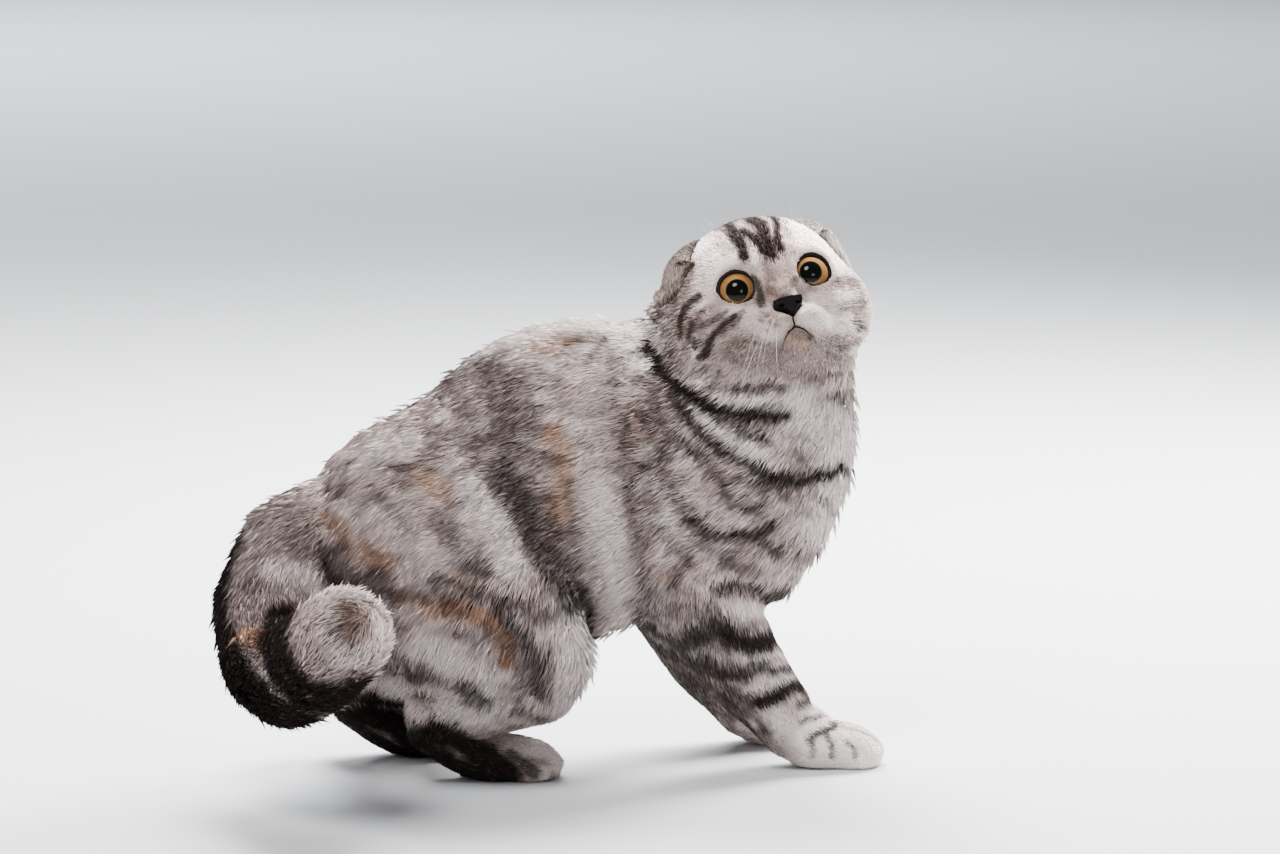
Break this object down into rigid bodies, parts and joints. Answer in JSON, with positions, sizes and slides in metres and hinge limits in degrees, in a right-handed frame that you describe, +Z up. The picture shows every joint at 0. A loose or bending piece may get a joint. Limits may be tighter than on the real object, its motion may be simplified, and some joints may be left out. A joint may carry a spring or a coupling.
{
  "type": "scottish fold cat model",
  "caption": "Life-size still model of a short-haired fold-eared tabby cat, half crouched on four paws with its head turned aside and its tail curled forward.",
  "frame": {"origin": "on the floor under the middle of the box around the cat", "axes": "+X towards the chest along the trunk, +Y to the cat's left, +Z up; the face looks towards -Y"},
  "size_m": [0.3502, 0.2016, 0.2876],
  "materials": {
    "coat_silver": "short dense fur, silver grey with charcoal bands",
    "coat_dark": "short dense fur, charcoal brown",
    "coat_pale": "short dense fur, cream white",
    "eye": "wet gloss, copper iris with a round black pupil",
    "nose_leather": "bare fine-grained skin, slightly moist"
  },
  "bodies": {
    "root": {"head": "coat_silver", "nose": "nose_leather", "eye_right": "eye", "ear_right": "coat_dark", "eye_left": "eye", "ear_left": "coat_dark", "neck": "coat_silver", "chest": "coat_silver", "flank": "coat_silver", "rump": "coat_silver", "foreleg_right_upper": "coat_silver", "foreleg_right_lower": "coat_silver", "forepaw_right": "coat_pale", "foreleg_left_upper": "coat_silver", "foreleg_left_lower": "coat_silver", "forepaw_left": "coat_pale", "thigh_right": "coat_silver", "shank_right": "coat_silver", "hindfoot_right": "coat_dark", "thigh_left": "coat_silver", "shank_left": "coat_silver", "hindfoot_left": "coat_dark", "tail_base": "coat_silver", "tail_middle": "coat_silver", "tail_tip": "coat_dark"}
  },
  "joints": []
}
